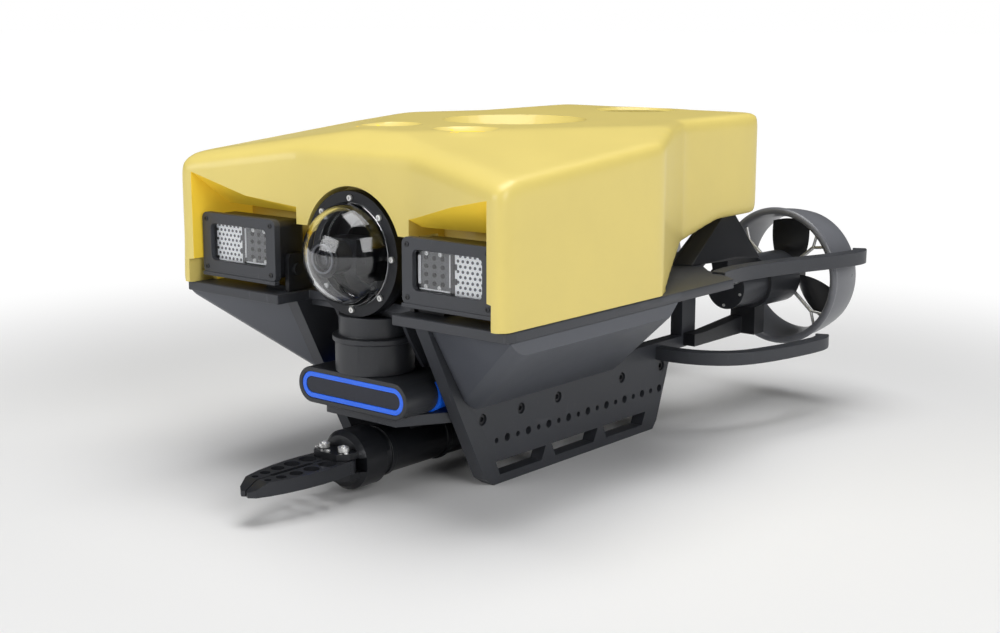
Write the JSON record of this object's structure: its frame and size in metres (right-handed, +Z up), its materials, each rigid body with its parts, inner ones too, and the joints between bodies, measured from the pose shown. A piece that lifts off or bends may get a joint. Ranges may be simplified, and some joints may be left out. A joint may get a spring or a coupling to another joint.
{
  "type": "underwater inspection vehicle",
  "caption": "Tethered underwater inspection vehicle: foam float on a twin-skid frame, with dome camera, lamps, imaging sonar, two-jaw gripper and ducted thrusters.",
  "frame": {"origin": "on the ground under the middle of the overall box", "axes": "+Z up; -Y is ahead, the way the camera and gripper look; X = 0 is the plane of symmetry"},
  "size_m": [0.406, 0.7286, 0.318],
  "materials": {
    "float_foam": "satin",
    "frame_grey": "matte",
    "bright_steel": "satin",
    "black_housing": "satin",
    "clear_glass": "gloss",
    "blue_ring": "gloss",
    "lens_glass": "gloss",
    "dark_polymer": "matte",
    "white_reflector": "satin",
    "led_plate": "matte",
    "gripper_black": "satin",
    "jaw_alloy": "satin",
    "motor_grey": "satin",
    "propeller_black": "satin"
  },
  "bodies": {
    "vehicle": {"arm_clamps": "frame_grey", "arm_tube": "gripper_black", "bumper_lower_left": "frame_grey", "bumper_lower_right": "frame_grey", "bumper_upper_left": "frame_grey", "bumper_upper_right": "frame_grey", "camera_cradle": "black_housing", "camera_dome": "clear_glass", "camera_flange": "black_housing", "camera_housing": "black_housing", "cross_members": "frame_grey", "deck_plate": "frame_grey", "dome_screws": "bright_steel", "fairing_left": "frame_grey", "fairing_right": "frame_grey", "float_block": "float_foam", "lamp_bracket_left": "frame_grey", "lamp_bracket_right": "frame_grey", "nose_pod": "black_housing", "nozzle_struts": "bright_steel", "port_liner_mid": "frame_grey", "port_liner_rear": "frame_grey", "port_motor_mid": "motor_grey", "port_motor_rear": "motor_grey", "pylons": "frame_grey", "rear_bracket_left": "frame_grey", "rear_bracket_right": "frame_grey", "side_motor_left": "motor_grey", "side_motor_right": "motor_grey", "side_nozzle_left": "black_housing", "side_nozzle_right": "black_housing", "skid_left": "frame_grey", "skid_right": "frame_grey", "skid_screws": "bright_steel", "sonar_body": "black_housing", "sonar_face": "dark_polymer", "sonar_ring": "blue_ring", "sonar_tray": "frame_grey", "tether_socket": "black_housing"},
    "camera_head": {"camera_block": "black_housing", "camera_ring": "black_housing", "camera_lens": "lens_glass"},
    "lamp_unit_right": {"lamp_body_right": "dark_polymer", "lamp_bezel_right": "black_housing", "lamp_window_right": "clear_glass", "lamp_reflector_right": "white_reflector", "lamp_leds_right": "led_plate"},
    "lamp_unit_left": {"lamp_body_left": "dark_polymer", "lamp_bezel_left": "black_housing", "lamp_window_left": "clear_glass", "lamp_reflector_left": "white_reflector", "lamp_leds_left": "led_plate"},
    "wrist": {"arm_wrist": "gripper_black", "jaw_pins": "bright_steel"},
    "jaw_body_right": {"jaw_right": "jaw_alloy"},
    "jaw_body_left": {"jaw_left": "jaw_alloy"},
    "side_rotor_right": {"side_propeller_right": "propeller_black"},
    "side_rotor_left": {"side_propeller_left": "propeller_black"},
    "port_rotor_mid": {"port_propeller_mid": "propeller_black"},
    "port_rotor_rear": {"port_propeller_rear": "propeller_black"}
  },
  "joints": [
    {"name": "camera_tilt", "type": "hinge", "parent": "vehicle", "child": "camera_head", "pos_m": [0, -0.2297, 0.213], "axis": [1, 0, 0], "range_deg": [-40, 40]},
    {"name": "lamp_tilt_right", "type": "hinge", "parent": "vehicle", "child": "lamp_unit_right", "pos_m": [0.08, -0.2253, 0.192], "axis": [1, 0, 0], "range_deg": [-8, 8]},
    {"name": "lamp_tilt_left", "type": "hinge", "parent": "vehicle", "child": "lamp_unit_left", "pos_m": [-0.08, -0.2253, 0.192], "axis": [1, 0, 0], "range_deg": [-8, 8]},
    {"name": "wrist_roll", "type": "hinge", "parent": "vehicle", "child": "wrist", "pos_m": [0, -0.2156, 0.031], "axis": [0, 1, 0], "continuous": true},
    {"name": "jaw_swing_right", "type": "hinge", "parent": "wrist", "child": "jaw_body_right", "pos_m": [0.012, -0.2553, 0.031], "axis": [0, 0, 1], "range_deg": [0, 35]},
    {"name": "jaw_swing_left", "type": "hinge", "parent": "wrist", "child": "jaw_body_left", "pos_m": [-0.012, -0.2553, 0.031], "axis": [0, 0, 1], "range_deg": [-35, 0]},
    {"name": "side_spin_right", "type": "hinge", "parent": "vehicle", "child": "side_rotor_right", "pos_m": [0.114, 0.3327, 0.137], "axis": [0.0698, 0.9976, 0], "continuous": true},
    {"name": "side_spin_left", "type": "hinge", "parent": "vehicle", "child": "side_rotor_left", "pos_m": [-0.114, 0.3327, 0.137], "axis": [-0.0698, 0.9976, 0], "continuous": true},
    {"name": "port_spin_mid", "type": "hinge", "parent": "vehicle", "child": "port_rotor_mid", "pos_m": [0, -0.0073, 0.252], "axis": [0, 0, 1], "continuous": true},
    {"name": "port_spin_rear", "type": "hinge", "parent": "vehicle", "child": "port_rotor_rear", "pos_m": [0, 0.1947, 0.264], "axis": [0, 0, 1], "continuous": true}
  ],
  "couplings": [
    {"joint": "jaw_swing_left", "follows": "jaw_swing_right", "ratio": -1}
  ]
}
